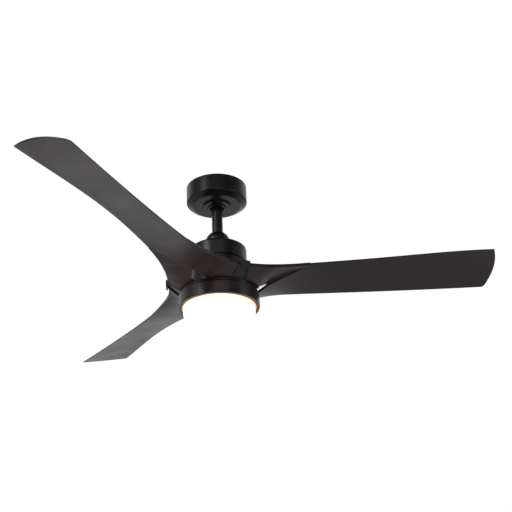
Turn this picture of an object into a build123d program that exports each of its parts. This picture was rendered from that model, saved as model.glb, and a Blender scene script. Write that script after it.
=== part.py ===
"""Three-blade ceiling fan with a downrod and an LED light kit.

Frame: the origin is the centre of the hanger bracket's top face, on the ceiling plane.
+Z is up, so the fan hangs along -Z, and blade_1 points along +X. Units are millimetres.
Heights inside the fan head are given above the bottom rim of the light ring (RIM).
"""
from build123d import *
from math import cos, pi, radians, sin, sqrt
import os

os.makedirs("parts", exist_ok=True)

# --- driving dimensions -------------------------------------------------------------------
BLADE_COUNT = 3
BLADE_STEP = 360 / BLADE_COUNT
TIP_RADIUS = 673.0            # blade tips, 53 inch sweep
RIM = -329.4                  # bottom rim of the light ring

# canopy and hanger
CANOPY_RADIUS = 75.0
CANOPY_TOP = -0.5
CANOPY_BOTTOM = -43.4
CANOPY_WALL = 1.5
CANOPY_CORNER = 2.0
CANOPY_HOLE = 40.0
COVER_RIM_RADIUS = 73.0
COVER_RADIUS = 59.0
COVER_BOTTOM = -52.0
COVER_THICK = 2.0
COVER_HOLE = 29.0
COLLAR_RADIUS = 35.0
COLLAR_FACE = -55.8
COLLAR_BOTTOM = -58.5
COLLAR_LIP = 22.0
COLLAR_HOLE = 18.0
GROOVE_WIDTH = 2.0
GROOVE_DEPTH = 2.5
BRACKET_THICK = 2.5
BRACKET_HALF_LENGTH = 58.0
BRACKET_HALF_WIDTH = 20.0
BRACKET_LEG_X = 32.0
BRACKET_SEAT_TOP = -38.0
SLOT_SPACING = 88.9           # outlet box screws, 3.5 inch
SLOT_WIDTH = 5.6
SLOT_LENGTH = 18.0
CANOPY_SCREW_X = 50.0
GROUND_SCREW_RADIUS = 1.5
GROUND_SCREW_Z = -20.0
BALL_RADIUS = 25.0
BALL_Z = -24.0
BALL_TOP = -9.0
SEAT_CLEARANCE = 0.08

# downrod and coupling
ROD_RADIUS = 13.35            # 3/4 inch pipe
ROD_BORE = 10.5
ROD_TOP = -12.0
ROD_BOTTOM = -166.0
PIN_RADIUS = 3.2
BALL_PIN_Z = -19.0
COUPLING_RADIUS = 19.0
COUPLING_TOP = -146.0
COUPLING_BOTTOM = -172.0
COUPLING_FLANGE_BOTTOM = -177.0
COUPLING_PIN_Z = -157.0
DOME_RADIUS = 29.0
DOME_TOP = -125.5
DOME_STRAIGHT_TOP = -149.5
RUN = 0.05                    # radial clearance of running fits

# motor
HOUSING_RADIUS = 69.4
HOUSING_TOP = -172.8
HOUSING_SHOULDER = 7.0
HOUSING_BOTTOM = -214.4
HOUSING_WALL = 1.6
SEAM = 1.2
ROTOR_RADIUS = 68.6
ROTOR_DRUM_RADIUS = 62.0
ROTOR_WALL = 2.6
ROTOR_SCREW_RADIUS = 63.0
ROTOR_TOP = -187.0
ROTOR_BOTTOM = -262.0
ROTOR_COVER_BOTTOM = -266.0
ROTOR_SKIRT_THICK = 2.4
ROTOR_SEAM = 0.8
SHAFT_RADIUS = 8.5
SHAFT_BORE = 5.0
SHAFT_BOTTOM = -310.0
BEARING_RADIUS = 17.5
BEARING_HEIGHT = 11.0
UPPER_BEARING_Z = -192.0
LOWER_BEARING_Z = -258.0
STATOR_RADIUS = 52.0
STATOR_TOP = -209.0
STATOR_BOTTOM = -240.0
SLOT_COUNT = 12
MAGNET_COUNT = 14
MAGNET_INNER = 52.6
MAGNET_OUTER = 57.5

# blade holder, heights above RIM
HOLDER_RADIUS = 93.0
HOLDER_LOW = 33.0
HOLDER_HIGH = 40.0
HOLDER_BORE = 24.0
HOLDER_HUB_RADIUS = 46.0
GASKET_TOP = 41.0
ARM_SEAT_WIDTH = 41.4
ARM_TIP_WIDTH = 25.4
ARM_SEAT_RADIUS = 91.0
ARM_TIP_RADIUS = 122.0
ARM_RISE_LOW = 38.5
ARM_RISE_HIGH = 63.5
ARM_THICK = 7.0
ARM_LIP = 3.0
ARM_CAP_THICK = 4.0

# blades, heights above RIM
ROOT_THICK = 8.0
TIP_THICK = 5.0
EDGE_THICK = 5.0
TIP_EDGE_THICK = 2.0
FOOT_INNER_RADIUS = 50.0
FOOT_HALF_ANGLE = 44.5
FOOT_RIM_RADIUS = 94.0        # where the root facets leave the foot
NOTCH_INNER = 67.0
NOTCH_SHOULDER = 92.0
NOTCH_POINT = 118.0
NOTCH_HALF_WIDTH = 20.0
FACET_CORNER_ANGLE = 53.5     # where a facet meets the arm beside it
STEP_END_X = 218.0            # the step between the facets dies away in the rear edge
FRONT_START_X = 245.0
WAIST_X = 380.0               # the rear edge is furthest in
BLADE_END_X = 680.0           # past the tip, which is trimmed to its own outline
REAR_WAIST_Y = 46.0
REAR_ROOT_FLARE = 8.0
REAR_TIP_FLARE = 13.0
FRONT_START_Y = 61.0
FRONT_TIP_Y = 78.5
REAR_START_HEIGHT = 86.0
REAR_TIP_HEIGHT = 110.5
FRONT_START_HEIGHT = 63.0
FRONT_TIP_HEIGHT = 76.5
TIP_CORNER_X = 660.0
TIP_REAR_FILLET = 4.0
TIP_FRONT_FILLET = 20.0
BLADE_SCREW_RADIUS = 58.5
BLADE_SCREW_ANGLES = (-30.0, 0.0, 30.0)

# light kit, heights above RIM
RING_RADIUS = 96.5
RING_WALL = 2.0
RING_LIP = 6.2
RING_TOP = 31.0
RING_SCREW_RADIUS = 80.0
DIFFUSER_RADIUS = 85.5
DIFFUSER_WALL = 2.0
DIFFUSER_TOP = 13.5
DIFFUSER_CORNER = -21.5
DIFFUSER_CORNER_RADIUS = 11.0
DIFFUSER_DEPTH = -27.5
LED_RINGS = ((24.0, 8), (44.0, 14), (64.0, 20))


# --- helpers ------------------------------------------------------------------------------
def turned(*outline):
    """Solid of revolution about Z of a closed (radius, height) polygon."""
    wire = Polyline(*[(radius, 0, height) for radius, height in outline], close=True)
    return revolve(make_face(wire), Axis.Z)


def tube(outer, inner, low, high):
    """Upright tube between two heights."""
    return turned((inner, low), (outer, low), (outer, high), (inner, high))


def rod(radius, low, high):
    """Upright round bar between two heights."""
    return Pos(0, 0, (low + high) / 2) * Cylinder(radius, high - low)


def bar(radius, length, place):
    """Round bar along X, centred at place."""
    return Pos(*place) * Rot(0, 90, 0) * Cylinder(radius, length)


def block(low, high):
    """Box between two corners."""
    size = [high[i] - low[i] for i in range(3)]
    middle = [(high[i] + low[i]) / 2 for i in range(3)]
    return Pos(*middle) * Box(*size)


def around(shape, angles):
    """Copies of a shape turned about Z."""
    return [Rot(0, 0, angle) * shape for angle in angles]


def even_angles(count, first=0.0):
    """Evenly spaced angles about Z."""
    return [first + 360 * i / count for i in range(count)]


def joined(shapes):
    """Fuse a list of touching or overlapping shapes."""
    result = shapes[0]
    for shape in shapes[1:]:
        result = result + shape
    return result


def circles_at(shape, radius, height):
    """Circular edges of a turned shape at one radius and height."""
    edges = shape.edges().filter_by(GeomType.CIRCLE)
    return [e for e in edges if abs(e.radius - radius) < 0.01 and abs(e.arc_center.Z - height) < 0.01]


def screw(radius, head_radius, head_height, length):
    """Pan-head screw: seat at the origin, shank along -Z, cross recess in the head."""
    head = rod(head_radius, 0, head_height)
    head = fillet(circles_at(head, head_radius, head_height), head_height * 0.45)
    half = head_radius * 0.55
    slot = block((-half, -0.5, head_height * 0.45), (half, 0.5, head_height + 1))
    return head - slot - Rot(0, 0, 90) * slot + rod(radius, -length, 0.1)


def above_rim(height):
    """Height in the row frame of a level given above the light ring's rim."""
    return RIM + height


def save(name, *shapes):
    """Write one node: a single solid, or a group of separate solids."""
    shape = shapes[0] if len(shapes) == 1 else Compound(children=list(shapes))
    export_step(shape, f"parts/{name}.step")


# --- ceiling mount ------------------------------------------------------------------------
def hanger_bracket():
    """Folded strap: slotted top plate, two legs and a C-shaped ball seat open towards +Y."""
    half, width, thick = BRACKET_HALF_LENGTH, BRACKET_HALF_WIDTH, BRACKET_THICK
    top = block((-half, -width, -thick), (half, width, 0))
    tabs = block((-24, -46, -thick), (24, 50, 0))
    seat = block((-half, -24, BRACKET_SEAT_TOP - thick), (half, 24, BRACKET_SEAT_TOP))
    body = top + tabs + seat
    for side in (-1, 1):
        x = side * BRACKET_LEG_X
        body += block((x - thick / 2, -width, BRACKET_SEAT_TOP - thick), (x + thick / 2, width, 0))
        for corner in (-1, 1):
            nose = Pos(side * half, corner * 24, 0) * Rot(0, 0, 45) * Box(14, 14, 200)
            body -= nose
    body -= rod(15.5, -thick - 1, 1)
    for side in (-1, 1):
        slot = extrude(SlotOverall(SLOT_LENGTH, SLOT_WIDTH), 6, both=True)
        body -= Pos(side * SLOT_SPACING / 2, 0, 0) * slot
        body -= Pos(side * CANOPY_SCREW_X, 0, BRACKET_SEAT_TOP) * Cylinder(1.65, 8)
    body -= bar(GROUND_SCREW_RADIUS, 8, (BRACKET_LEG_X, 10, GROUND_SCREW_Z))
    body -= Pos(0, 0, BALL_Z) * Sphere(BALL_RADIUS + SEAT_CLEARANCE)
    mouth = block((-14.5, 0, BRACKET_SEAT_TOP - thick - 1), (14.5, 30, BRACKET_SEAT_TOP + 1))
    return body - mouth


def canopy():
    """Shallow round cup with a flat underside, a wide centre hole and two screw holes."""
    inner = CANOPY_RADIUS - CANOPY_WALL
    outline = (
        (CANOPY_HOLE, CANOPY_BOTTOM),
        (CANOPY_RADIUS, CANOPY_BOTTOM),
        (CANOPY_RADIUS, CANOPY_TOP),
        (inner, CANOPY_TOP),
        (inner, CANOPY_BOTTOM + CANOPY_WALL),
        (CANOPY_HOLE, CANOPY_BOTTOM + CANOPY_WALL),
    )
    cup = turned(*outline)
    cup = fillet(circles_at(cup, CANOPY_RADIUS, CANOPY_BOTTOM), CANOPY_CORNER)
    for side in (-1, 1):
        cup -= Pos(side * CANOPY_SCREW_X, 0, CANOPY_BOTTOM) * Cylinder(2.2, 10)
    return cup


def canopy_screw_cover():
    """Snap-on dish that hides the canopy screws: a sloped flank about a flat centre."""
    floor = COVER_BOTTOM + COVER_THICK
    outline = (
        (COVER_HOLE, COVER_BOTTOM),
        (COVER_RADIUS, COVER_BOTTOM),
        (COVER_RIM_RADIUS, CANOPY_BOTTOM - 0.6),
        (COVER_RIM_RADIUS, CANOPY_BOTTOM),
        (COVER_RIM_RADIUS - 3.2, CANOPY_BOTTOM),
        (COVER_RADIUS, floor),
        (COVER_HOLE, floor),
    )
    cover = turned(*outline)
    return fillet(circles_at(cover, COVER_RADIUS, COVER_BOTTOM), 3.0)


def canopy_collar():
    """Collar about the rod, clipped into the screw cover: a flat face, a groove and a round lip."""
    neck = COVER_HOLE - 0.1
    groove = COLLAR_FACE + GROOVE_DEPTH
    inside = groove + 2.0
    clip = COVER_BOTTOM + 3.2
    outline = (
        (COLLAR_HOLE, COLLAR_BOTTOM),
        (COLLAR_LIP, COLLAR_BOTTOM),
        (COLLAR_LIP, groove),
        (COLLAR_LIP + GROOVE_WIDTH, groove),
        (COLLAR_LIP + GROOVE_WIDTH, COLLAR_FACE),
        (COLLAR_RADIUS, COLLAR_FACE),
        (COLLAR_RADIUS, COVER_BOTTOM),
        (neck, COVER_BOTTOM),
        (neck, clip),
        (neck - 2, clip),
        (neck - 2, inside),
        (COLLAR_HOLE, inside),
    )
    collar = turned(*outline)
    collar = fillet(circles_at(collar, COLLAR_LIP, COLLAR_BOTTOM), 1.9)
    return fillet(circles_at(collar, COLLAR_RADIUS, COLLAR_FACE), 0.9)


def canopy_screws():
    """Two screws through the canopy floor into the bracket's ears."""
    one = Pos(CANOPY_SCREW_X, 0, CANOPY_BOTTOM) * Rot(180, 0, 0) * screw(1.6, 3.8, 2.2, 7)
    return around(one, even_angles(2))


def receiver_case():
    """Remote-control receiver stuck under the bracket's rear tab."""
    case = block((-24, 28, -22), (24, 58, -BRACKET_THICK - 1))
    case = fillet(case.edges().filter_by(Axis.Z), 3)
    rib = block((-22, 57.9, -14), (22, 58.8, -10))
    return case + rib


def receiver_pad():
    """Foam tape between the receiver and the bracket."""
    return block((-18, 30, -BRACKET_THICK - 1), (18, 48, -BRACKET_THICK))


def terminal_block():
    """Three-way screw terminal for the supply wires, under the bracket's front tab."""
    body = block((-15, -44, -17), (15, -29, -BRACKET_THICK))
    for x in (-10, 0, 10):
        body -= Pos(x, -36.5, -17) * Cylinder(2.6, 12)
        body -= Pos(x, -36.5, -8) * Rot(90, 0, 0) * Cylinder(1.7, 40)
    return body


def terminal_screws():
    """Clamp screws of the terminal block."""
    one = Pos(0, -36.5, -15) * Rot(180, 0, 0) * screw(1.3, 2.4, 1.4, 3.4)
    return [Pos(x, 0, 0) * one for x in (-10, 0, 10)]


def ground_screw():
    """Earth screw in the bracket's leg."""
    seat = Pos(BRACKET_LEG_X + BRACKET_THICK / 2, 10, GROUND_SCREW_Z) * Rot(0, 90, 0)
    return seat * screw(GROUND_SCREW_RADIUS, 4.0, 2.2, BRACKET_THICK + 3)


# --- hanging column -----------------------------------------------------------------------
def hanger_ball():
    """Truncated ball bored for the rod, its cross pin and its set screw."""
    ball = Pos(0, 0, BALL_Z) * Sphere(BALL_RADIUS)
    ball -= rod(60, BALL_TOP, BALL_TOP + 60)
    ball -= rod(ROD_RADIUS + RUN, -70, 20)
    ball -= bar(PIN_RADIUS + RUN, 44, (0, 0, BALL_PIN_Z))
    return ball - Pos(0, 18, BALL_Z - 6) * Rot(90, 0, 0) * Cylinder(3.0, 20)


def ball_set_screw():
    """Headless screw that locks the ball on the rod."""
    body = Pos(0, 17.4, BALL_Z - 6) * Rot(90, 0, 0) * Cylinder(2.9, 8)
    return body - Pos(0, 20.4, BALL_Z - 6) * Rot(90, 0, 0) * Cylinder(1.4, 4)


def downrod():
    """Steel pipe with cross holes for the two pins."""
    pipe = tube(ROD_RADIUS, ROD_BORE, ROD_BOTTOM, ROD_TOP)
    for z in (BALL_PIN_Z, COUPLING_PIN_Z):
        pipe -= bar(PIN_RADIUS + RUN, 40, (0, 0, z))
    return pipe


def cross_pin(length, z):
    """Round pin along X with chamfered ends."""
    pin = bar(PIN_RADIUS, length, (0, 0, z))
    return chamfer(pin.edges().filter_by(GeomType.CIRCLE), 0.6)


def coupling_pin():
    """Clevis pin through coupling and rod, drilled for its clip at the +X end."""
    pin = bar(PIN_RADIUS, 46, (0, 0, COUPLING_PIN_Z)) + bar(4.4, 2, (-23.2, 0, COUPLING_PIN_Z))
    return pin - Pos(21.4, 0, COUPLING_PIN_Z) * Cylinder(1.0, 10)


def coupling_clip():
    """Straight leg of the spring clip that keeps the clevis pin in."""
    leg = Pos(21.4, 0, COUPLING_PIN_Z + 1) * Cylinder(0.9, 12)
    eye = Pos(21.4, 0, COUPLING_PIN_Z + 9.2) * Rot(0, 90, 0) * Torus(2.6, 0.9)
    return leg + eye


def motor_coupling():
    """Collar that joins the rod to the motor shaft, with a bolting flange."""
    collar = tube(COUPLING_RADIUS, ROD_RADIUS + RUN, ROD_BOTTOM, COUPLING_TOP)
    base = tube(COUPLING_RADIUS, SHAFT_RADIUS, COUPLING_BOTTOM, ROD_BOTTOM)
    flange = tube(26.0, SHAFT_RADIUS, COUPLING_FLANGE_BOTTOM - 4, COUPLING_FLANGE_BOTTOM)
    neck = tube(COUPLING_RADIUS, SHAFT_RADIUS, COUPLING_FLANGE_BOTTOM, COUPLING_BOTTOM)
    body = joined([collar, base, neck, flange])
    body -= bar(PIN_RADIUS + RUN, 60, (0, 0, COUPLING_PIN_Z))
    for angle in (60, 120):
        body -= Rot(0, 0, angle) * bar(2.5, 12, (COUPLING_RADIUS - 2, 0, -150.5))
    return body


def coupling_set_screws():
    """Two headless screws that bear on the rod."""
    one = bar(2.45, 7, (ROD_RADIUS + RUN + 3.6, 0, -150.5)) - bar(1.2, 3, (ROD_RADIUS + 6.6, 0, -150.5))
    return around(one, (60, 120))


def coupling_cover():
    """Bell that hides the coupling: straight skirt below, quarter-ellipse dome above."""
    wall = 1.4
    low = HOUSING_TOP + 0.4
    dome_height = DOME_TOP - DOME_STRAIGHT_TOP
    mouth = ROD_RADIUS + 0.35
    steps = [90 * i / 8 for i in range(9)]

    def dome(radius, height):
        arc = [(radius * cos(radians(a)), DOME_STRAIGHT_TOP + height * sin(radians(a))) for a in steps]
        return [point for point in arc if point[0] > mouth]

    outer = dome(DOME_RADIUS, dome_height)
    inner = dome(DOME_RADIUS - wall, dome_height - wall)
    right = Spline(*[(r, 0, z) for r, z in outer])
    left = Spline(*[(r, 0, z) for r, z in inner])
    top_out, top_in = right @ 1, left @ 1
    base = Polyline(left @ 0, (DOME_RADIUS - wall, 0, low), (DOME_RADIUS, 0, low), right @ 0)
    cap = Polyline(top_out, (mouth, 0, top_out.Z + 1.0), (mouth, 0, top_in.Z), top_in)
    return revolve(make_face(Wire([right, left, *base.edges(), *cap.edges()])), Axis.Z)


def motor_cover():
    """Fixed upper housing of the motor: a cup with a rounded shoulder."""
    inner = HOUSING_RADIUS - HOUSING_WALL
    hole = COUPLING_RADIUS + 0.4
    ceiling = HOUSING_TOP - HOUSING_WALL
    outline = (
        (hole, HOUSING_TOP),
        (HOUSING_RADIUS, HOUSING_TOP),
        (HOUSING_RADIUS, HOUSING_BOTTOM),
        (inner, HOUSING_BOTTOM),
        (inner, ceiling),
        (hole, ceiling),
    )
    cup = turned(*outline)
    cup = fillet(circles_at(cup, HOUSING_RADIUS, HOUSING_TOP), HOUSING_SHOULDER)
    cup = fillet(circles_at(cup, inner, ceiling), HOUSING_SHOULDER - HOUSING_WALL)
    cup += tube(26, hole, COUPLING_FLANGE_BOTTOM, ceiling)
    for angle in even_angles(3, 30):
        cup -= Rot(0, 0, angle) * Pos(22.6, 0, HOUSING_TOP) * Cylinder(1.6, 12)
    return cup


def motor_cover_screws():
    """Screws through the cover into the coupling flange, under the bell."""
    length = HOUSING_TOP - COUPLING_FLANGE_BOTTOM - 0.1
    one = Pos(22.6, 0, HOUSING_TOP) * screw(1.5, 2.9, 1.8, length)
    return around(one, even_angles(3, 30))


def motor_shaft():
    """Hollow fixed shaft with a collar over the stator and a thread for the nut."""
    body = rod(SHAFT_RADIUS, SHAFT_BOTTOM, ROD_BOTTOM)
    body += tube(12.0, 0.5, -208.5, -204.5)
    return body - rod(SHAFT_BORE, SHAFT_BOTTOM - 1, ROD_BOTTOM + 1)


def stator_core():
    """Laminated star: a hub, twelve teeth and their shoes."""
    hub = tube(24, SHAFT_RADIUS, STATOR_BOTTOM, STATOR_TOP)
    ring = tube(STATOR_RADIUS, STATOR_RADIUS - 3.2, STATOR_BOTTOM, STATOR_TOP)
    tooth = block((23.5, -3.2, STATOR_BOTTOM), (STATOR_RADIUS - 3, 3.2, STATOR_TOP))
    body = joined([hub, ring, *around(tooth, even_angles(SLOT_COUNT))])
    gap = block((STATOR_RADIUS - 6, -1.2, STATOR_BOTTOM - 1), (STATOR_RADIUS + 2, 1.2, STATOR_TOP + 1))
    for cut in around(gap, even_angles(SLOT_COUNT, 180 / SLOT_COUNT)):
        body -= cut
    return body


def stator_insulators():
    """Plastic end caps on the core, one above and one below."""
    star = tube(24, 13, 0, 1.5)
    star = joined([star, *around(block((23.5, -3.4, 0), (47.5, 3.4, 1.5)), even_angles(SLOT_COUNT))])
    return [Pos(0, 0, STATOR_TOP) * star, Pos(0, 0, STATOR_BOTTOM - 1.5) * star]


def stator_coils():
    """Twelve copper coils, each a rounded frame about its tooth."""
    outer = block((27, -6.4, STATOR_BOTTOM - 6), (46.5, 6.4, STATOR_TOP + 6))
    outer = fillet(outer.edges().filter_by(Axis.X), 4)
    core = block((26, -3.5, STATOR_BOTTOM - 1.6), (47.5, 3.5, STATOR_TOP + 1.6))
    return around(outer - core, even_angles(SLOT_COUNT))


def bearing_inner_races():
    """Inner races pressed on the shaft."""
    race = tube(11.4, SHAFT_RADIUS, 0, BEARING_HEIGHT)
    groove = Pos(0, 0, BEARING_HEIGHT / 2) * Torus(13.0, 2.4)
    return [Pos(0, 0, z) * (race - groove) for z in (UPPER_BEARING_Z - BEARING_HEIGHT, LOWER_BEARING_Z)]


def bearing_outer_races():
    """Outer races pressed in the rotor's seats."""
    race = tube(BEARING_RADIUS, 14.6, 0, BEARING_HEIGHT)
    groove = Pos(0, 0, BEARING_HEIGHT / 2) * Torus(13.0, 2.4)
    return [Pos(0, 0, z) * (race - groove) for z in (UPPER_BEARING_Z - BEARING_HEIGHT, LOWER_BEARING_Z)]


def bearing_balls():
    """Nine balls in each bearing, running clear of both races."""
    ball = Pos(13.0, 0, BEARING_HEIGHT / 2) * Sphere(2.35)
    levels = (UPPER_BEARING_Z - BEARING_HEIGHT, LOWER_BEARING_Z)
    return [Pos(0, 0, z) * one for z in levels for one in around(ball, even_angles(9))]


def wire_harness():
    """Three leads that pass the pins inside the rod, then run down the hollow shaft."""
    side, middle = 4.4, 1.6
    leads = []
    for x in (-2.2, 0, 2.2):
        points = [(x, side, -14), (x, side, ROD_BOTTOM + 4.5), (x, middle, ROD_BOTTOM - 2)]
        points.append((x, middle, SHAFT_BOTTOM + 2))
        path = FilletPolyline(*points, radius=8)
        section = Plane(origin=points[0], z_dir=(0, 0, -1)) * Circle(1.0)
        leads.append(sweep(section, path=path))
    return leads


# --- rotor --------------------------------------------------------------------------------
def rotor_shell():
    """Outer rotor: drum about the stator, upper bearing seat and the visible hollow skirt."""
    skirt_top = HOUSING_BOTTOM - SEAM
    seat = BEARING_RADIUS
    drum = MAGNET_OUTER + ROTOR_WALL
    outline = (
        (seat, UPPER_BEARING_Z - BEARING_HEIGHT),
        (seat + 4, UPPER_BEARING_Z - BEARING_HEIGHT),
        (seat + 6, ROTOR_TOP - 4),
        (MAGNET_OUTER, ROTOR_TOP - 4),
        (MAGNET_OUTER, ROTOR_BOTTOM),
        (drum, ROTOR_BOTTOM),
        (drum, skirt_top - ROTOR_WALL),
        (ROTOR_RADIUS - ROTOR_WALL, skirt_top - ROTOR_WALL),
        (ROTOR_RADIUS - ROTOR_WALL, ROTOR_BOTTOM),
        (ROTOR_RADIUS, ROTOR_BOTTOM),
        (ROTOR_RADIUS, skirt_top),
        (ROTOR_DRUM_RADIUS, skirt_top),
        (ROTOR_DRUM_RADIUS, ROTOR_TOP),
        (12.6, ROTOR_TOP),
        (12.6, UPPER_BEARING_Z),
        (seat, UPPER_BEARING_Z),
    )
    shell = turned(*outline)
    shell = fillet(circles_at(shell, ROTOR_RADIUS, skirt_top), 1.2)
    post = Pos(ROTOR_SCREW_RADIUS, 0, 0) * rod(3.4, ROTOR_BOTTOM, skirt_top - 1)
    shell = joined([shell, *around(post, even_angles(6))])
    for angle in even_angles(6):
        shell -= Rot(0, 0, angle) * Pos(ROTOR_SCREW_RADIUS, 0, ROTOR_BOTTOM) * Cylinder(1.6, 24)
    return shell


def rotor_magnets():
    """Arc magnets glued inside the drum."""
    ring = tube(MAGNET_OUTER, MAGNET_INNER, STATOR_BOTTOM - 2, STATOR_TOP + 2)
    width = MAGNET_OUTER * sin(radians(180 / MAGNET_COUNT)) - 0.5
    wedge = block((MAGNET_INNER - 3, -width, -300), (MAGNET_OUTER + 3, width, -100))
    return around(ring & wedge, even_angles(MAGNET_COUNT))


def rotor_end_cover():
    """Lower end of the rotor: bearing seat, a seam groove and a skirt down to the blade feet."""
    seat_top = LOWER_BEARING_Z + BEARING_HEIGHT
    skirt_inner = ROTOR_RADIUS - ROTOR_SKIRT_THICK
    skirt_bottom = above_rim(GASKET_TOP + ROOT_THICK + 1.5)
    outline = (
        (12.6, ROTOR_COVER_BOTTOM),
        (skirt_inner, ROTOR_COVER_BOTTOM),
        (skirt_inner, skirt_bottom),
        (ROTOR_RADIUS, skirt_bottom),
        (ROTOR_RADIUS, ROTOR_BOTTOM - ROTOR_SEAM),
        (ROTOR_RADIUS - ROTOR_SEAM, ROTOR_BOTTOM - ROTOR_SEAM),
        (ROTOR_RADIUS - ROTOR_SEAM, ROTOR_BOTTOM),
        (BEARING_RADIUS + 6, ROTOR_BOTTOM),
        (BEARING_RADIUS + 4, seat_top),
        (BEARING_RADIUS, seat_top),
        (BEARING_RADIUS, LOWER_BEARING_Z),
        (12.6, LOWER_BEARING_Z),
    )
    cover = turned(*outline)
    for angle in even_angles(6):
        cover -= Rot(0, 0, angle) * Pos(ROTOR_SCREW_RADIUS, 0, ROTOR_BOTTOM) * Cylinder(1.9, 20)
    for angle in even_angles(6, 30):
        cover -= Rot(0, 0, angle) * Pos(35, 0, ROTOR_COVER_BOTTOM) * Cylinder(2.0, 12)
    return cover


def end_cover_screws():
    """Screws that close the rotor, heads below."""
    one = Pos(ROTOR_SCREW_RADIUS, 0, ROTOR_COVER_BOTTOM) * Rot(180, 0, 0) * screw(1.55, 3.0, 2.0, 12)
    return around(one, even_angles(6))


def arm_section(radius, width, low, thick):
    """Upright rectangle across an arm at one radius, in the arm's own frame along X."""
    bottom = above_rim(low)
    top = bottom + thick
    half = width / 2
    corners = [(radius, -half, bottom), (radius, half, bottom), (radius, half, top), (radius, -half, top)]
    return make_face(Polyline(*corners, close=True))


def holder_arm():
    """Rising tapered arm along X, hollowed from below between two side lips."""
    seat = arm_section(ARM_SEAT_RADIUS - 6, ARM_SEAT_WIDTH + 2.6, ARM_RISE_LOW - 4.3, ARM_THICK)
    tip = arm_section(ARM_TIP_RADIUS, ARM_TIP_WIDTH, ARM_RISE_HIGH - 1.5, ARM_THICK + 1.5)
    body = loft([seat, tip], ruled=True)
    seat_width, tip_width = ARM_SEAT_WIDTH - 2 * ARM_LIP, ARM_TIP_WIDTH - 2 * ARM_LIP
    inner_seat = arm_section(ARM_SEAT_RADIUS + 2, seat_width, ARM_RISE_LOW - 3.5, 9)
    inner_tip = arm_section(ARM_TIP_RADIUS + 1, tip_width, ARM_RISE_HIGH - 4.5, 8.5)
    return body - loft([inner_seat, inner_tip], ruled=True)


def blade_holder():
    """Cast dish that carries the blades: a thick rim, a hub and three rising arms."""
    low, high = above_rim(HOLDER_LOW), above_rim(HOLDER_HIGH)
    plate = tube(HOLDER_RADIUS, HOLDER_BORE, low, high)
    hub = tube(HOLDER_HUB_RADIUS, HOLDER_BORE, low, ROTOR_COVER_BOTTOM)
    arms = around(holder_arm(), even_angles(BLADE_COUNT, BLADE_STEP / 2))
    body = joined([plate, hub, *arms])
    for angle in even_angles(6, 30):
        body -= Rot(0, 0, angle) * Pos(35, 0, low) * Cylinder(2.2, 200)
        body -= Rot(0, 0, angle) * Pos(35, 0, low) * Cylinder(4.6, 10)
    for angle in blade_screw_angles():
        body -= Rot(0, 0, angle) * Pos(BLADE_SCREW_RADIUS, 0, low) * Cylinder(2.05, 40)
    return body


def holder_screws():
    """Screws from below through the holder's hub into the rotor."""
    one = Pos(35, 0, above_rim(HOLDER_LOW) + 5) * Rot(180, 0, 0) * screw(1.95, 4.2, 2.6, 30)
    return around(one, even_angles(6, 30))


def arm_caps():
    """End plates of the holder's arms, standing a little proud of the blades."""
    half = ARM_TIP_WIDTH / 2 + 0.3
    face, top = ARM_TIP_RADIUS + ARM_CAP_THICK, above_rim(73.5)
    cap = block((ARM_TIP_RADIUS, -half, above_rim(57.5)), (face, half, top))
    cap = fillet(cap.edges().filter_by(Axis.X), 1.5)
    hook = block((ARM_TIP_RADIUS - 5, 2 - half, top - 2), (ARM_TIP_RADIUS + 1, half - 2, top))
    return around(cap + hook, even_angles(BLADE_COUNT, BLADE_STEP / 2))


# --- blades -------------------------------------------------------------------------------
def blade_section(rear, front, thick, edge, camber):
    """Upright section between the middles of the rear and front edges, bowed up by its camber."""
    rear = Vector(rear[0], rear[1], above_rim(rear[2]))
    front = Vector(front[0], front[1], above_rim(front[2]))
    middle = (rear + front) / 2
    half_edge = Vector(0, 0, edge / 2)
    low = middle + Vector(0, 0, camber - thick / 2)
    high = middle + Vector(0, 0, camber + thick / 2)
    lower = ThreePointArc(rear - half_edge, low, front - half_edge)
    upper = ThreePointArc(front + half_edge, high, rear + half_edge)
    sides = [Line(front - half_edge, front + half_edge), Line(rear + half_edge, rear - half_edge)]
    return make_face(Wire([lower, sides[0], upper, sides[1]]))


def polar(radius, angle, height):
    """Point at a radius and angle about Z, and a height above RIM."""
    return (radius * cos(radians(angle)), radius * sin(radians(angle)), height)


def blend(first, last, share):
    """Value a given share of the way from first to last."""
    return first + (last - first) * share


def rear_edge(share):
    """The blade's rear, higher edge: in from the step's end to the waist, then out to the tip."""
    x = blend(STEP_END_X, BLADE_END_X, share)
    if x < WAIST_X:
        inward = (WAIST_X - x) / (WAIST_X - STEP_END_X)
        flare = REAR_ROOT_FLARE * (1 - cos(pi / 2 * inward))
    else:
        outward = (x - WAIST_X) / (BLADE_END_X - WAIST_X)
        flare = REAR_TIP_FLARE * (1 - cos(pi * outward)) / 2
    climb = 1 - (1 - share) ** 2
    return (x, -REAR_WAIST_Y - flare, blend(REAR_START_HEIGHT, REAR_TIP_HEIGHT, climb))


def front_edge(share):
    """The blade's front, lower edge: it spreads and rises more and more towards the tip."""
    x = blend(FRONT_START_X, BLADE_END_X, share)
    y = blend(FRONT_START_Y, FRONT_TIP_Y, share ** 1.3)
    return (x, y, blend(FRONT_START_HEIGHT, FRONT_TIP_HEIGHT, share ** 1.6))


# Corners of the root, and the bends of its curved edges, as x, y and height above RIM.
STEP_START = (NOTCH_POINT, -1, 60)
STEP_TOP = ((NOTCH_POINT, 1, 67), (165, -25, 81), (STEP_END_X - 6, -50, 85))
FRONT_FACET_END = (150, 67.5, 66.5)
FRONT_PANEL_BEND = (200, 62, 64)
FRONT_ROOT_BEND = (105, 74.5, 67)
REAR_ROOT_BEND = (130, -63, 75)


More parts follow.
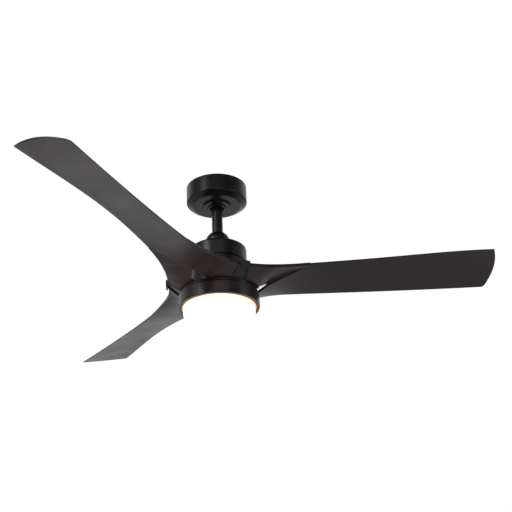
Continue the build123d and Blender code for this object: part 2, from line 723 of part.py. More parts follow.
def inner_panel():
    """Panel in front of the step, from the notch out to where the step dies away."""
    rear = Line(STEP_START, rear_edge(0))
    front = Bezier(FRONT_FACET_END, FRONT_PANEL_BEND, front_edge(0))
    sections = []
    for share in even_shares(3):
        shape = (ROOT_THICK, blend(ROOT_THICK, EDGE_THICK, share), blend(0.4, 1.4, share))
        sections.append(blade_section(tuple(rear @ share), tuple(front @ share), *shape))
    return loft(sections)


def outer_panel():
    """Twisted, cambered panel from the end of the step to past the tip."""
    sections = []
    for share in even_shares(8):
        thick = blend(ROOT_THICK, TIP_THICK, share)
        edge = blend(EDGE_THICK, TIP_EDGE_THICK, sqrt(share))
        shape = (thick, edge, blend(1.4, 4.0, share))
        sections.append(blade_section(rear_edge(share), front_edge(share), *shape))
    return loft(sections)


def even_shares(count):
    """Shares from 0 to 1 in equal steps."""
    return [i / count for i in range(count + 1)]


def blade_root():
    """Flat foot of a blade on the holder, under the two rising facets."""
    low, high = above_rim(GASKET_TOP), above_rim(GASKET_TOP + ROOT_THICK)
    outer = HOLDER_RADIUS + 4
    reach = 2 * outer
    x, y = reach * cos(radians(FOOT_HALF_ANGLE)), reach * sin(radians(FOOT_HALF_ANGLE))
    plan = Polyline((0, 0), (x, -y), (x, y), close=True)
    sector = extrude(Pos(0, 0, low) * make_face(plan), high - low)
    return sector & tube(outer, FOOT_INNER_RADIUS, low - 1, high + 1)


def notch():
    """Pointed slot between the two root facets, open towards the hub."""
    rear, front = -NOTCH_HALF_WIDTH, NOTCH_HALF_WIDTH - 1
    shoulders = ((NOTCH_INNER, rear), (NOTCH_SHOULDER, rear), (NOTCH_POINT, 0))
    plan = Polyline(*shoulders, (NOTCH_SHOULDER, front), (NOTCH_INNER, front), close=True)
    return extrude(Pos(0, 0, above_rim(30)) * make_face(plan), 60)


def tip_outline():
    """Plan of the blade: its outer end bows out between a tight and a wide rounded corner."""
    rear = (TIP_CORNER_X, -REAR_WAIST_Y - REAR_TIP_FLARE - 1)
    front = (TIP_CORNER_X, FRONT_TIP_Y + 1)
    middle = (TIP_RADIUS, (rear[1] + front[1]) / 2)
    bow = ThreePointArc(rear, middle, front)
    sides = Polyline(front, (560, 90), (0, 300), (0, -300), (560, -70), rear)
    plan = make_face(Wire([bow, *sides.edges()]))
    for corner, radius in ((front, TIP_FRONT_FILLET), (rear, TIP_REAR_FILLET)):
        vertex = plan.vertices().sort_by_distance((*corner, 0))[0]
        plan = fillet(vertex, radius)
    return plan


def root_facet(rear_points, front_points):
    """Straight-sided facet lofted between two rows of edge points."""
    pairs = zip(rear_points, front_points)
    return loft([blade_section(*pair, ROOT_THICK, ROOT_THICK, 0.3) for pair in pairs], ruled=True)


def points_on(line, count):
    """Points on a line, ends included, in equal steps."""
    return [tuple(line @ share) for share in even_shares(count)]


def foot_line(side):
    """Where a facet leaves the foot: the foot's rim, then the notch's shoulder."""
    rim = [polar(FOOT_RIM_RADIUS, side * angle, height) for angle, height in ((46.5, 45), (30, 46))]
    return [*rim, (NOTCH_SHOULDER, side * (NOTCH_HALF_WIDTH - (side + 1) / 2), 48)]


def front_facet():
    """Facet between the notch and the front edge."""
    corner = polar(ARM_TIP_RADIUS - 0.5, FACET_CORNER_ANGLE, 66)
    outer = Bezier(corner, FRONT_ROOT_BEND, FRONT_FACET_END)
    return root_facet([*foot_line(1), STEP_START], points_on(outer, 3))


def rear_facet():
    """Facet behind the step: along the foot to the notch, then up the step to its end."""
    corner = polar(ARM_TIP_RADIUS - 0.5, -FACET_CORNER_ANGLE, 67)
    outer = Bezier(corner, REAR_ROOT_BEND, rear_edge(0))
    inner = [*foot_line(-1), *points_on(Bezier(*STEP_TOP), 3)]
    return root_facet(points_on(outer, 6), inner)


def blade():
    """One blade along +X: two root facets that meet in a step, and the twisted outer panel."""
    panels = [outer_panel(), inner_panel(), front_facet(), rear_facet(), blade_root()]
    body = joined(panels) - notch()
    for angle in BLADE_SCREW_ANGLES:
        body -= Rot(0, 0, angle) * Pos(BLADE_SCREW_RADIUS, 0, above_rim(45)) * Cylinder(2.6, 40)
    return body & extrude(Pos(0, 0, above_rim(0)) * tip_outline(), 200)


def blade_gaskets():
    """Rubber pads between the blade feet and the holder."""
    pad = tube(HOLDER_RADIUS - 4, FOOT_INNER_RADIUS + 1, above_rim(HOLDER_HIGH), above_rim(GASKET_TOP))
    pad = pad & wedge(-43, 43)
    pad -= notch()
    for angle in BLADE_SCREW_ANGLES:
        pad -= Rot(0, 0, angle) * Pos(BLADE_SCREW_RADIUS, 0, above_rim(45)) * Cylinder(2.6, 40)
    return around(pad, even_angles(BLADE_COUNT))


def blade_screw_angles():
    """Angles of every blade screw about Z."""
    return [blade + angle for blade in even_angles(BLADE_COUNT) for angle in BLADE_SCREW_ANGLES]


def blade_screws():
    """Three screws through each blade's foot into the holder."""
    seat = above_rim(GASKET_TOP + ROOT_THICK + 1)
    one = Pos(BLADE_SCREW_RADIUS, 0, seat) * screw(2.0, 4.6, 2.8, 14)
    return around(one, blade_screw_angles())


def blade_washers():
    """Flat washers under the blade screws."""
    low = above_rim(GASKET_TOP + ROOT_THICK)
    one = Pos(BLADE_SCREW_RADIUS, 0, 0) * tube(5.6, 2.1, low, low + 1)
    return around(one, blade_screw_angles())


# --- light kit ----------------------------------------------------------------------------
def light_pan():
    """Pressed pan fixed to the end of the shaft; it carries the ring, the driver and the LEDs."""
    outline = (
        (SHAFT_RADIUS, above_rim(27.5)),
        (88, above_rim(27.5)),
        (88, above_rim(17)),
        (89.6, above_rim(17)),
        (89.6, above_rim(RING_TOP - 1.5)),
        (SHAFT_RADIUS, above_rim(RING_TOP - 1.5)),
    )
    pan = turned(*outline)
    for angle in even_angles(3, 30):
        pan -= Rot(0, 0, angle) * Pos(RING_SCREW_RADIUS, 0, above_rim(28)) * Cylinder(1.7, 8)
    return pan


def shaft_nut():
    """Hexagon nut that clamps the pan on the shaft."""
    nut = extrude(Pos(0, 0, above_rim(21.5)) * RegularPolygon(15, 6), 6)
    return nut - rod(SHAFT_RADIUS, above_rim(10), above_rim(40))


def light_ring():
    """Outer band of the light kit with a chamfered foot and a thin top flange."""
    inner = RING_RADIUS - RING_WALL
    outline = (
        (inner - RING_LIP, above_rim(0)),
        (RING_RADIUS - 0.9, above_rim(0)),
        (RING_RADIUS, above_rim(2.4)),
        (RING_RADIUS, above_rim(RING_TOP)),
        (70, above_rim(RING_TOP)),
        (70, above_rim(RING_TOP - 1.5)),
        (inner, above_rim(RING_TOP - 1.5)),
        (inner, above_rim(1.2)),
        (inner - RING_LIP, above_rim(1.2)),
    )
    ring = turned(*outline)
    ring = fillet(circles_at(ring, RING_RADIUS, above_rim(RING_TOP)), 1.0)
    for angle in even_angles(3, 30):
        ring -= Rot(0, 0, angle) * Pos(RING_SCREW_RADIUS, 0, above_rim(RING_TOP)) * Cylinder(1.6, 6)
    return ring


def light_ring_screws():
    """Screws from below through the pan into the ring's top flange."""
    one = Pos(RING_SCREW_RADIUS, 0, above_rim(27.5)) * Rot(180, 0, 0) * screw(1.55, 3.0, 1.8, 3.4)
    return around(one, even_angles(3, 30))


def led_driver():
    """Driver module beside the shaft nut, in the pan."""
    case = block((22, -24, above_rim(15.4)), (66, 24, above_rim(27.5)))
    return fillet(case.edges().filter_by(Axis.Z), 3)


def motor_controller():
    """Motor control board and its capacitor, opposite the LED driver."""
    board = block((-70, -26, above_rim(22)), (-22, 26, above_rim(23.6)))
    posts = [Pos(x, y, above_rim(25.5)) * Cylinder(2.5, 4) for x in (-64, -28) for y in (-20, 20)]
    chips = block((-52, -9, above_rim(17)), (-34, 9, above_rim(22)))
    coil = Pos(-61, 0, above_rim(19.2)) * Cylinder(5, 5.6)
    return joined([board, *posts, chips, coil])


def led_heat_sink():
    """Aluminium plate on three posts that carries the LED board."""
    outline = (
        (0, above_rim(13.6)),
        (80, above_rim(13.6)),
        (80, above_rim(15.2)),
        (0, above_rim(15.2)),
    )
    plate = turned(*outline)
    for angle in even_angles(3, 90):
        plate += Rot(0, 0, angle) * Pos(76, 0, above_rim(21)) * Cylinder(3.2, 13)
        plate -= Rot(0, 0, angle) * Pos(76, 0, above_rim(13.6)) * Cylinder(1.5, 16)
    return plate


def led_board():
    """Round LED circuit board."""
    board = rod(78, above_rim(12), above_rim(13.6))
    for angle in even_angles(3, 90):
        board -= Rot(0, 0, angle) * Pos(76, 0, above_rim(13)) * Cylinder(5, 8)
    return board


def led_board_screws():
    """Screws that hold the LED plate up to the pan's posts."""
    one = Pos(76, 0, above_rim(13.6)) * Rot(180, 0, 0) * screw(1.45, 3.0, 1.8, 6)
    return around(one, even_angles(3, 90))


def leds():
    """Square LED chips in three rings on the board's underside."""
    chip = block((-1.75, -1.75, above_rim(11)), (1.75, 1.75, above_rim(12)))
    rings = [around(Pos(radius, 0, 0) * chip, even_angles(count, 7)) for radius, count in LED_RINGS]
    return [one for ring in rings for one in ring]


def bayonet_clips():
    """Ledges on the ring's inner wall that the diffuser's tabs turn onto."""
    inner = RING_RADIUS - RING_WALL
    reach = DIFFUSER_RADIUS + 0.8
    low, high = above_rim(5.2), above_rim(13)
    ledge = tube(inner, reach, low, low + 2) + tube(inner, inner - 1.2, low, high)
    stop = tube(inner, reach, low, high)
    return [
        Rot(0, 0, angle) * ((ledge & wedge(-7, 9)) + (stop & wedge(-10, -7)))
        for angle in even_angles(3, 90)
    ]


def wedge(first, last):
    """Upright sector between two angles, for cutting arcs from rings."""
    corners = [(0, 0), (200 * cos(radians(first)), 200 * sin(radians(first)))]
    corners.append((200 * cos(radians(last)), 200 * sin(radians(last))))
    return extrude(Pos(0, 0, above_rim(-60)) * make_face(Polyline(*corners, close=True)), 160)


def diffuser_gasket():
    """Translucent ring between the band's foot and the diffuser."""
    return tube(RING_RADIUS - RING_WALL, DIFFUSER_RADIUS + 0.4, above_rim(1.2), above_rim(3.4))


def diffuser():
    """Opal cover: straight wall, rounded shoulder, shallow dome and three bayonet tabs."""
    radius, wall, top = DIFFUSER_RADIUS, DIFFUSER_WALL, above_rim(DIFFUSER_TOP)

    def solid_form(offset):
        side = radius - offset
        corner = (side, 0, above_rim(DIFFUSER_CORNER + offset))
        bottom = (0, 0, above_rim(DIFFUSER_DEPTH + offset))
        halfway = (side / 2, 0, above_rim(DIFFUSER_DEPTH + offset + 1.5))
        dome = ThreePointArc(corner, halfway, bottom)
        sides = Polyline(bottom, (0, 0, top), (side, 0, top), corner)
        form = revolve(make_face(Wire([dome, *sides.edges()])), Axis.Z)
        shoulder = circles_at(form, side, above_rim(DIFFUSER_CORNER + offset))
        return fillet(shoulder, DIFFUSER_CORNER_RADIUS - offset)

    bowl = solid_form(0) - solid_form(wall)
    tab = tube(radius + 4.5, radius - 0.5, above_rim(7.6), above_rim(10.4)) & wedge(-6.5, 6.5)
    return joined([bowl, *around(tab, even_angles(3, 90))])


# --- write the nodes ----------------------------------------------------------------------
def main():
    save("hanger_bracket", hanger_bracket())
    save("canopy", canopy())
    save("canopy_screws", *canopy_screws())
    save("canopy_screw_cover", canopy_screw_cover())
    save("canopy_collar", canopy_collar())
    save("receiver_case", receiver_case())
    save("receiver_pad", receiver_pad())
    save("terminal_block", terminal_block())
    save("terminal_screws", *terminal_screws())
    save("ground_screw", ground_screw())

    save("hanger_ball", hanger_ball())
    save("ball_cross_pin", cross_pin(44, BALL_PIN_Z))
    save("ball_set_screw", ball_set_screw())
    save("downrod", downrod())
    save("motor_coupling", motor_coupling())
    save("coupling_pin", coupling_pin())
    save("coupling_clip", coupling_clip())
    save("coupling_set_screws", *coupling_set_screws())
    save("coupling_cover", coupling_cover())
    save("motor_cover", motor_cover())
    save("motor_cover_screws", *motor_cover_screws())
    save("motor_shaft", motor_shaft())
    save("stator_core", stator_core())
    save("stator_insulators", *stator_insulators())
    save("stator_coils", *stator_coils())
    save("bearing_inner_races", *bearing_inner_races())
    save("bearing_balls", *bearing_balls())
    save("wire_harness", *wire_harness())

    save("rotor_shell", rotor_shell())
    save("rotor_magnets", *rotor_magnets())
    save("rotor_end_cover", rotor_end_cover())
    save("end_cover_screws", *end_cover_screws())
    save("bearing_outer_races", *bearing_outer_races())
    save("blade_holder", blade_holder())
    save("holder_screws", *holder_screws())
    save("arm_caps", *arm_caps())
    one_blade = blade()
    for index, turned_blade in enumerate(around(one_blade, even_angles(BLADE_COUNT))):
        save(f"blade_{index + 1}", turned_blade)
    save("blade_gaskets", *blade_gaskets())
    save("blade_screws", *blade_screws())
    save("blade_washers", *blade_washers())

    save("light_pan", light_pan())
    save("shaft_nut", shaft_nut())
    save("light_ring", light_ring())
    save("light_ring_screws", *light_ring_screws())
    save("led_driver", led_driver())
    save("motor_controller", motor_controller())
    save("led_heat_sink", led_heat_sink())
    save("led_board", led_board())
    save("led_board_screws", *led_board_screws())
    save("leds", *leds())
    save("bayonet_clips", *bayonet_clips())
    save("diffuser_gasket", diffuser_gasket())
    save("diffuser", diffuser())


main()
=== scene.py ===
"""Looks for a three-blade ceiling fan with a light.

Materials, soft studio light and a camera from below.
"""

import math

import bpy
from mathutils import Matrix, Vector


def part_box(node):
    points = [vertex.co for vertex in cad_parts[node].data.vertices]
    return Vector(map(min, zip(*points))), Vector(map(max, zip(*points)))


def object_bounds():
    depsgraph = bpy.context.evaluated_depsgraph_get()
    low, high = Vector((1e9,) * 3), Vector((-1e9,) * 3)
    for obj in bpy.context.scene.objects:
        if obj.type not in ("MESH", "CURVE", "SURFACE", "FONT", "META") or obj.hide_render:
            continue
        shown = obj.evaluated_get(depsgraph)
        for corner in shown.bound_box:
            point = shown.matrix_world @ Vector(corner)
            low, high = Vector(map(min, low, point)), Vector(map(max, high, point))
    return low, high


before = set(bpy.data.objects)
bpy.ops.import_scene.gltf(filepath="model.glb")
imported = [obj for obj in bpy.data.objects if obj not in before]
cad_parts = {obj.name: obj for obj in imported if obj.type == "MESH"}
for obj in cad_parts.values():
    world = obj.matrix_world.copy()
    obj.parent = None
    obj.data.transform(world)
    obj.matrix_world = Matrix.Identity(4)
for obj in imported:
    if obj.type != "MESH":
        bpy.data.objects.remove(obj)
CAD_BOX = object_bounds()

RING_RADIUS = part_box("light_ring")[1].x
DIFFUSER_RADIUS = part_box("diffuser")[1].x

WHITE = (1.0, 1.0, 1.0)
BLADES = {"blade_1": 0, "blade_2": 120, "blade_3": -120}  # the way each one points, in degrees

# Painted warm light: the blades' roots are redder and a little lighter, fading out between these two
# radii.
PAINTED_WARM_LIGHT_RADII = (RING_RADIUS + 0.0035, RING_RADIUS + 0.1435)
PAINTED_ROOT_WARM_LIGHT = (0.033, 0.0150, 0.0165)
BLADE_DARK = (0.0170, 0.0130, 0.0142)
BLADE_LIGHT = (0.0260, 0.0160, 0.0178)
# Painted highlight colour for the blades' rounded edges, in red-brown.
BLADE_RIM_HIGHLIGHT = (0.095, 0.050, 0.044)

# The opal cover's light turns warmer between these two radii.
OPAL_RIM = (DIFFUSER_RADIUS - 0.0045, DIFFUSER_RADIUS + 0.0003)
OPAL_RIM_LIGHT = (1.0, 0.90, 0.66)

# Camera: in front of the fan, below its light, and looking up. Metres and degrees. The lens and the
# sensor are in millimetres.
CAMERA_AWAY = 2.064
CAMERA_BELOW_LIGHT = 0.898
CAMERA_PITCH = 26.62
CAMERA_HEADING = 2.56
CAMERA_ROLL = 2.54
CAMERA_LENS = 66.7
CAMERA_SENSOR = 36.0

# How bright the surroundings look in the fan's own surfaces, from the dark side behind the camera to
# the white backdrop behind the fan. The first number is the share of the way.
SURROUNDINGS = (
    (0.0, 0.08),
    (0.3, 0.09),
    (0.55, 0.22),
    (0.73, 0.62),
    (0.93, 0.72),
    (0.965, 0.76),
    (1.0, 1.15),
)

# Lights: the place from the fan's middle, width and height in metres, and the power in watts.
MIDDLE_UP = 0.1569  # above the fan's lowest point
FAN_MIDDLE = Vector((0.0, 0.0, CAD_BOX[0].z + MIDDLE_UP))
SOFT_BOXES = {
    "left_light": ((-2.6, -1.2, 0.1), 1.2, 2.2, 9.0),
    "right_light": ((2.6, -0.9, 0.0), 1.0, 2.0, 8.0),
    "front_light": ((-0.2, -3.2, 1.25), 4.0, 0.8, 8.0),
    "front_left_light": ((-2.4, -2.3, 1.35), 1.2, 0.8, 16.0),
    "low_light": ((-0.6, -1.2, -1.6), 0.5, 0.2, 9.0),
}

FLOOR_DROP = 2.1  # below the fan's lowest point
FLOOR_SIZE = 9.0
FLOOR_DARK = (0.86, 0.86, 0.85)
FLOOR_LIGHT = (0.90, 0.90, 0.89)
FLOOR_GLOW = 0.06


# --- node helpers -------------------------------------------------------------------------------


def add(tree, kind, inputs=None, **settings):
    """One shader node. An input is a value, or another node's output to link."""
    made = tree.nodes.new(kind)
    for key, value in settings.items():
        setattr(made, key, value)
    for key, value in (inputs or {}).items():
        if isinstance(value, bpy.types.NodeSocket):
            tree.links.new(value, made.inputs[key])
        else:
            made.inputs[key].default_value = value
    return made


def blank(name):
    """The node tree of the material of that name, emptied."""
    material = bpy.data.materials.get(name) or bpy.data.materials.new(name)
    material.use_nodes = True
    material.node_tree.nodes.clear()
    return material.node_tree


def rgba(colour):
    return (*colour, 1.0)


def place(tree, stretch=WHITE, turn=0.0):
    """Object coordinates in metres, turned about Z and stretched."""
    where = add(tree, "ShaderNodeTexCoord").outputs["Object"]
    if turn:
        spin = {"Vector": where, "Rotation": (0.0, 0.0, -math.radians(turn))}
        where = add(tree, "ShaderNodeMapping", spin).outputs["Vector"]
    return add(tree, "ShaderNodeMapping", {"Vector": where, "Scale": stretch}).outputs["Vector"]


def from_axis(tree, where):
    """Distance from the fan's own axis, in metres."""
    flat = add(tree, "ShaderNodeVectorMath", {0: where, 1: (1.0, 1.0, 0.0)}, operation="MULTIPLY")
    length = add(tree, "ShaderNodeVectorMath", {0: flat.outputs["Vector"]}, operation="LENGTH")
    return length.outputs["Value"]


def noise(tree, where, size, detail=3.0, rough=0.5):
    """Smooth noise from about 0.3 to 0.7, with features of that size in metres."""
    inputs = {"Vector": where, "Scale": 1.0 / size, "Detail": detail, "Roughness": rough}
    return add(tree, "ShaderNodeTexNoise", inputs).outputs["Fac"]


def remap(tree, value, low, high, out_low, out_high):
    inputs = {"Value": value, "From Min": low, "From Max": high, "To Min": out_low, "To Max": out_high}
    return add(tree, "ShaderNodeMapRange", inputs).outputs["Result"]


def maths(tree, operation, a, b):
    return add(tree, "ShaderNodeMath", {0: a, 1: b}, operation=operation).outputs[0]


def mixed(tree, amount, a, b):
    """Colour a where amount is 0 and colour b where it is 1."""
    made = add(tree, "ShaderNodeMix", data_type="RGBA")
    for socket, value in ((made.inputs[0], amount), (made.inputs[6], a), (made.inputs[7], b)):
        if isinstance(value, bpy.types.NodeSocket):
            tree.links.new(value, socket)
        else:
            socket.default_value = value if isinstance(value, float) else rgba(value)
    return made.outputs[2]


def edge_wear_and_highlight(tree, radius, sharp=0.25):
    """1 on edges and 0 on flat faces: a mask for rubbed wear, and for painted edge highlights."""
    rounded = add(tree, "ShaderNodeBevel", {"Radius": radius}, samples=4).outputs["Normal"]
    flat = add(tree, "ShaderNodeNewGeometry").outputs["Normal"]
    dot = add(tree, "ShaderNodeVectorMath", {0: rounded, 1: flat}, operation="DOT_PRODUCT")
    return remap(tree, dot.outputs["Value"], 1.0 - sharp, 1.0, 1.0, 0.0)


def bumped(tree, height, strength, depth, edge=0.0004):
    """The normal of a surface with that relief and slightly rounded edges."""
    rounded = add(tree, "ShaderNodeBevel", {"Radius": edge}, samples=4).outputs["Normal"]
    inputs = {"Height": height, "Strength": strength, "Distance": depth, "Normal": rounded}
    return add(tree, "ShaderNodeBump", inputs).outputs["Normal"]


def surface(tree, **sockets):
    """Principled shader and output. Names are the sockets' own, with _ for a space."""
    inputs = {key.replace("_", " "): value for key, value in sockets.items()}
    if "Base Color" in inputs and isinstance(inputs["Base Color"], tuple):
        inputs["Base Color"] = rgba(inputs["Base Color"])
    shader = add(tree, "ShaderNodeBsdfPrincipled", inputs)
    add(tree, "ShaderNodeOutputMaterial", {"Surface": shader.outputs["BSDF"]})


# --- finishes -----------------------------------------------------------------------------------


def powder_coat(name, dark, light, rough, grain=0.0011, rub=(0.10, 0.095, 0.09)):
    """Baked powder paint: fine orange peel, faint cloudiness, and a thin rubbed line on edges."""
    tree = blank(name)
    where = place(tree)
    cloud = noise(tree, where, 0.035, 4.0)
    peel = noise(tree, where, grain, 2.0)
    speck = noise(tree, where, grain * 0.28, 1.0)
    body = mixed(tree, remap(tree, cloud, 0.3, 0.7, 0.0, 1.0), dark, light)
    wear = maths(tree, "MULTIPLY", edge_wear_and_highlight(tree, 0.0006), remap(tree, cloud, 0.42, 0.62, 0.0, 0.35))
    colour = mixed(tree, wear, body, rub)
    finish = maths(tree, "ADD", remap(tree, cloud, 0.3, 0.7, rough - 0.05, rough + 0.05),
                  remap(tree, speck, 0.3, 0.7, -0.03, 0.03))
    height = maths(tree, "ADD", peel, maths(tree, "MULTIPLY", speck, 0.35))
    surface(tree, Base_Color=colour, Roughness=finish, Normal=bumped(tree, height, 0.35, 0.00006))


def blade_plastic(name, azimuth):
    """Moulded espresso plastic with a faint grain along the blade, and a painted red-brown highlight on
    its rounded edges.
    """
    tree = blank(name)
    along = place(tree, stretch=(1.0, 14.0, 14.0), turn=azimuth)
    where = place(tree)
    streak = noise(tree, along, 0.06, 5.0, 0.6)
    fine = noise(tree, along, 0.012, 3.0)
    cloud = noise(tree, where, 0.09, 2.0)
    texture = noise(tree, where, 0.0009, 2.0)
    grain = remap(tree, streak, 0.38, 0.62, 0.0, 1.0)
    body = mixed(tree, grain, BLADE_DARK, BLADE_LIGHT)
    # Painted warm light: the roots are redder and a little lighter than the rest of the blade.
    body = mixed(tree, remap(tree, from_axis(tree, where), *PAINTED_WARM_LIGHT_RADII, 1.0, 0.0), body, PAINTED_ROOT_WARM_LIGHT)
    # Painted highlight: the rounded edges are lighter and red-brown.
    edge = edge_wear_and_highlight(tree, 0.0022, 0.45)
    colour = mixed(tree, maths(tree, "MULTIPLY", edge, 0.55), body, BLADE_RIM_HIGHLIGHT)
    finish = maths(tree, "ADD", remap(tree, cloud, 0.3, 0.7, 0.36, 0.44),
                  remap(tree, fine, 0.3, 0.7, -0.035, 0.035))
    height = maths(tree, "ADD", texture, maths(tree, "MULTIPLY", fine, 0.8))
    normal = bumped(tree, height, 0.25, 0.00005, edge=0.0007)
    surface(tree, Base_Color=colour, Roughness=finish, Normal=normal, IOR=1.46)


def plated_metal(name, colour, tint, rough, stretch=WHITE):
    """Plated, ground or drawn metal: fine lines, patches of another tint, and painted highlights that
    make the edges brighter.
    """
    tree = blank(name)
    lines = noise(tree, place(tree, stretch), 0.004, 4.0, 0.6)
    patch = noise(tree, place(tree), 0.012, 3.0)
    body = mixed(tree, remap(tree, patch, 0.35, 0.65, 0.0, 1.0), colour, tint)
    edge = edge_wear_and_highlight(tree, 0.0004)
    # Painted highlight: the edges are brighter.
    bright = tuple(min(1.0, part * 1.35) for part in colour)
    finish = maths(tree, "ADD", remap(tree, lines, 0.3, 0.7, rough - 0.08, rough + 0.08),
                  remap(tree, patch, 0.3, 0.7, -0.05, 0.05))
    shade = mixed(tree, maths(tree, "MULTIPLY", edge, 0.5), body, bright)
    normal = bumped(tree, lines, 0.2, 0.00004, edge=0.0002)
    surface(tree, Base_Color=shade, Metallic=1.0, Roughness=finish, Normal=normal)


def plain_plastic(name, dark, light, rough, grain=0.0007):
    """Moulded plastic with a fine eroded texture."""
    tree = blank(name)
    where = place(tree)
    texture = noise(tree, where, grain, 2.0)
    cloud = noise(tree, where, 0.02, 3.0)
    colour = mixed(tree, remap(tree, cloud, 0.3, 0.7, 0.0, 1.0), dark, light)
    finish = remap(tree, texture, 0.3, 0.7, rough - 0.06, rough + 0.06)
    surface(tree, Base_Color=colour, Roughness=finish, Normal=bumped(tree, texture, 0.3, 0.00005))


def layered(name, colour, gap, pitch, rough):
    """Stacked sheets or wound wire: dark lines at that pitch, one above the other."""
    tree = blank(name)
    wave = add(tree, "ShaderNodeTexWave", {
        "Vector": place(tree, (0.02, 0.02, 1.0)),
        "Scale": 0.314 / pitch,
        "Distortion": 0.6,
        "Detail": 1.0,
    }, wave_type="BANDS", bands_direction="Z").outputs["Fac"]
    patch = noise(tree, place(tree), 0.006, 3.0)
    body = mixed(tree, remap(tree, wave, 0.0, 0.35, 0.0, 1.0), gap, colour)
    dulled = tuple(part * 0.7 for part in colour)
    shade = mixed(tree, remap(tree, patch, 0.45, 0.75, 0.0, 0.8), body, dulled)
    finish = remap(tree, patch, 0.3, 0.7, rough - 0.06, rough + 0.06)
    normal = bumped(tree, wave, 0.6, pitch * 0.2, edge=0.0002)
    surface(tree, Base_Color=shade, Metallic=1.0, Roughness=finish, Normal=normal)


def foam(name, dark, light):
    """Closed-cell foam: small round pits."""
    tree = blank(name)
    where = place(tree)
    cells = add(tree, "ShaderNodeTexVoronoi", {"Vector": where, "Scale": 900.0}).outputs["Distance"]
    cloud = noise(tree, where, 0.01)
    colour = mixed(tree, remap(tree, cells, 0.1, 0.6, 0.0, 1.0), light, dark)
    finish = remap(tree, cloud, 0.3, 0.7, 0.75, 0.9)
    surface(tree, Base_Color=colour, Roughness=finish, Normal=bumped(tree, cells, 0.5, 0.0001))


def board(name, mask, bare, track):
    """Printed board: solder mask with the copper tracks showing faintly through."""
    tree = blank(name)
    where = place(tree)
    tracks = add(tree, "ShaderNodeTexBrick", {
        "Vector": where, "Scale": 120.0, "Mortar Size": 0.05, "Mortar Smooth": 0.2,
    }).outputs["Fac"]
    cloud = noise(tree, where, 0.008)
    base = mixed(tree, remap(tree, cloud, 0.3, 0.7, 0.0, 1.0), mask, bare)
    colour = mixed(tree, maths(tree, "MULTIPLY", tracks, 0.7), base, track)
    finish = remap(tree, cloud, 0.3, 0.7, 0.28, 0.4)
    surface(tree, Base_Color=colour, Roughness=finish, Normal=bumped(tree, tracks, 0.3, 0.00005))


def glowing(name, body, light, strength, rough, rim=None, reach=None):
    """Lit plastic. Its light turns to the rim colour between the two radii of reach, in metres."""
    tree = blank(name)
    where = place(tree)
    cloud = noise(tree, where, 0.03, 2.0)
    dimmer = tuple(part * 0.96 for part in body)
    shade = mixed(tree, remap(tree, cloud, 0.3, 0.7, 0.0, 1.0), body, dimmer)
    fainter = tuple(part * 0.985 for part in light)
    glow = mixed(tree, remap(tree, cloud, 0.3, 0.7, 0.0, 1.0), light, fainter)
    if rim:
        glow = mixed(tree, remap(tree, from_axis(tree, where), *reach, 0.0, 1.0), glow, rim)
    finish = remap(tree, noise(tree, where, 0.0008, 2.0), 0.3, 0.7, rough - 0.05, rough + 0.05)
    surface(tree, Base_Color=shade, Roughness=finish, Normal=bumped(tree, cloud, 0.1, 0.0001),
            Emission_Color=glow, Emission_Strength=strength)


def make_finishes():
    powder_coat("black_steel", (0.0080, 0.0080, 0.0085), (0.0112, 0.0112, 0.0118), 0.29)
    powder_coat("ring_steel", (0.0290, 0.0175, 0.0180), (0.0360, 0.0220, 0.0225), 0.30,
                rub=(0.12, 0.075, 0.055))
    powder_coat("black_aluminium", (0.0085, 0.0080, 0.0085), (0.0120, 0.0112, 0.0115), 0.34,
                grain=0.0016)
    for node, azimuth in BLADES.items():
        name = f"{node}_plastic"
        blade_plastic(name, azimuth)
        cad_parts[node].data.materials[0] = bpy.data.materials[name]
    plain_plastic("black_plastic", (0.020, 0.020, 0.021), (0.028, 0.028, 0.030), 0.45)
    plain_plastic("white_plastic", (0.62, 0.61, 0.58), (0.70, 0.69, 0.66), 0.42)
    plated_metal("zinc_steel", (0.56, 0.55, 0.52), (0.50, 0.51, 0.55), 0.34, stretch=(1.0, 6.0, 1.0))
    plated_metal("bearing_steel", (0.66, 0.66, 0.67), (0.60, 0.60, 0.62), 0.16)
    plated_metal("bare_aluminium", (0.74, 0.74, 0.75), (0.66, 0.66, 0.68), 0.38, stretch=(1.0, 8.0, 1.0))
    plated_metal("magnet", (0.20, 0.20, 0.21), (0.14, 0.14, 0.15), 0.4)
    layered("core_steel", (0.34, 0.34, 0.35), (0.05, 0.05, 0.05), 0.0005, 0.45)
    layered("copper_wire", (0.72, 0.30, 0.13), (0.12, 0.04, 0.02), 0.0011, 0.3)
    foam("foam_rubber", (0.012, 0.012, 0.012), (0.03, 0.03, 0.03))
    plain_plastic("wire_rubber", (0.016, 0.016, 0.017), (0.024, 0.024, 0.025), 0.5)
    powder_coat("earth_green", (0.02, 0.16, 0.05), (0.03, 0.2, 0.07), 0.35)
    board("circuit_board", (0.01, 0.07, 0.03), (0.015, 0.09, 0.04), (0.05, 0.16, 0.06))
    board("led_board_white", (0.75, 0.75, 0.73), (0.80, 0.80, 0.78), (0.60, 0.60, 0.58))
    glowing("led_chip", (0.85, 0.70, 0.25), (1.0, 0.93, 0.80), 6.0, 0.3)
    glowing("amber_gasket", (0.60, 0.27, 0.10), (1.0, 0.38, 0.14), 0.72, 0.5)
    glowing("opal", (0.86, 0.86, 0.84), (1.0, 0.97, 0.92), 0.95, 0.3,
            rim=OPAL_RIM_LIGHT, reach=OPAL_RIM)


# --- studio -------------------------------------------------------------------------------------


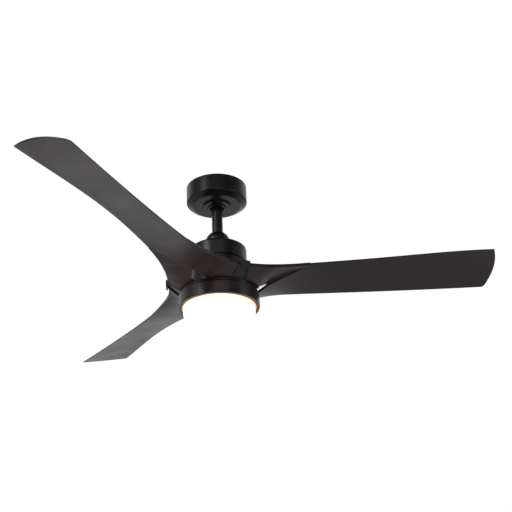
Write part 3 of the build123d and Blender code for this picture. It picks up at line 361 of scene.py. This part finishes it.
def make_camera():
    camera = bpy.data.objects.new("camera", bpy.data.cameras.new("camera"))
    bpy.context.scene.collection.objects.link(camera)
    camera.data.lens = CAMERA_LENS
    camera.data.sensor_width = CAMERA_SENSOR
    camera.data.sensor_fit = "HORIZONTAL"
    camera.data.clip_start = 0.05
    camera.data.clip_end = 60.0
    light_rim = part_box("light_ring")[0].z
    heading = Matrix.Rotation(-math.radians(CAMERA_HEADING), 4, "Z")
    pitch = Matrix.Rotation(math.radians(90.0 + CAMERA_PITCH), 4, "X")
    roll = Matrix.Rotation(-math.radians(CAMERA_ROLL), 4, "Z")
    stand = Matrix.Translation((0.0, -CAMERA_AWAY, light_rim - CAMERA_BELOW_LIGHT))
    camera.matrix_world = stand @ heading @ pitch @ roll
    bpy.context.scene.camera = camera


def make_world():
    """White to the camera, and a softer white to the fan, so that black stays black."""
    world = bpy.data.worlds.new("studio")
    bpy.context.scene.world = world
    world.use_nodes = True
    tree = world.node_tree
    tree.nodes.clear()
    towards = add(tree, "ShaderNodeTexCoord").outputs["Generated"]
    depth = add(tree, "ShaderNodeSeparateXYZ", {0: towards}).outputs["Y"]
    curve = add(tree, "ShaderNodeFloatCurve", {"Value": remap(tree, depth, -1.0, 1.0, 0.0, 1.0)})
    points = curve.mapping.curves[0].points
    brightest = SURROUNDINGS[-1][1]
    points[0].location = (0.0, SURROUNDINGS[0][1] / brightest)
    points[-1].location = (1.0, 1.0)
    for share, bright in SURROUNDINGS[1:-1]:
        points.new(share, bright / brightest)
    curve.mapping.update()
    glow = maths(tree, "MULTIPLY", curve.outputs["Value"], brightest)
    seen = add(tree, "ShaderNodeBackground", {"Color": rgba(WHITE), "Strength": 1.0})
    cast = add(tree, "ShaderNodeBackground", {"Color": rgba(WHITE), "Strength": glow})
    ray = add(tree, "ShaderNodeLightPath").outputs["Is Camera Ray"]
    mix = add(tree, "ShaderNodeMixShader", {0: ray, 1: cast.outputs[0], 2: seen.outputs[0]})
    add(tree, "ShaderNodeOutputWorld", {"Surface": mix.outputs[0]})


def soft_box(name, offset, width, height, power):
    """Area light at that offset from the fan's middle, facing it."""
    data = bpy.data.lights.new(name, "AREA")
    data.shape = "RECTANGLE"
    data.size = width
    data.size_y = height
    data.energy = power
    light = bpy.data.objects.new(name, data)
    bpy.context.scene.collection.objects.link(light)
    light.location = FAN_MIDDLE + Vector(offset)
    light.rotation_euler = (FAN_MIDDLE - light.location).to_track_quat("-Z", "Y").to_euler()


def make_floor():
    """A pale floor well under the fan, below the camera's sight in the main view."""
    tree = blank("studio_floor")
    cloud = noise(tree, place(tree), 0.8, 3.0)
    colour = mixed(tree, remap(tree, cloud, 0.3, 0.7, 0.0, 1.0), FLOOR_DARK, FLOOR_LIGHT)
    surface(tree, Base_Color=colour, Roughness=0.8, Emission_Color=rgba(WHITE),
            Emission_Strength=FLOOR_GLOW)
    half = FLOOR_SIZE / 2
    mesh = bpy.data.meshes.new("floor")
    corners = [(-half, -half, 0), (half, -half, 0), (half, half, 0), (-half, half, 0)]
    mesh.from_pydata(corners, [], [(0, 1, 2, 3)])
    mesh.materials.append(bpy.data.materials["studio_floor"])
    floor = bpy.data.objects.new("floor", mesh)
    floor.location = (0.0, 0.0, CAD_BOX[0].z - FLOOR_DROP)
    bpy.context.scene.collection.objects.link(floor)


def make_studio():
    make_world()
    make_floor()
    for name, settings in SOFT_BOXES.items():
        soft_box(name, *settings)
    bpy.context.scene.view_settings.view_transform = "Standard"
    bpy.context.scene.view_settings.look = "None"


make_finishes()
make_camera()
make_studio()
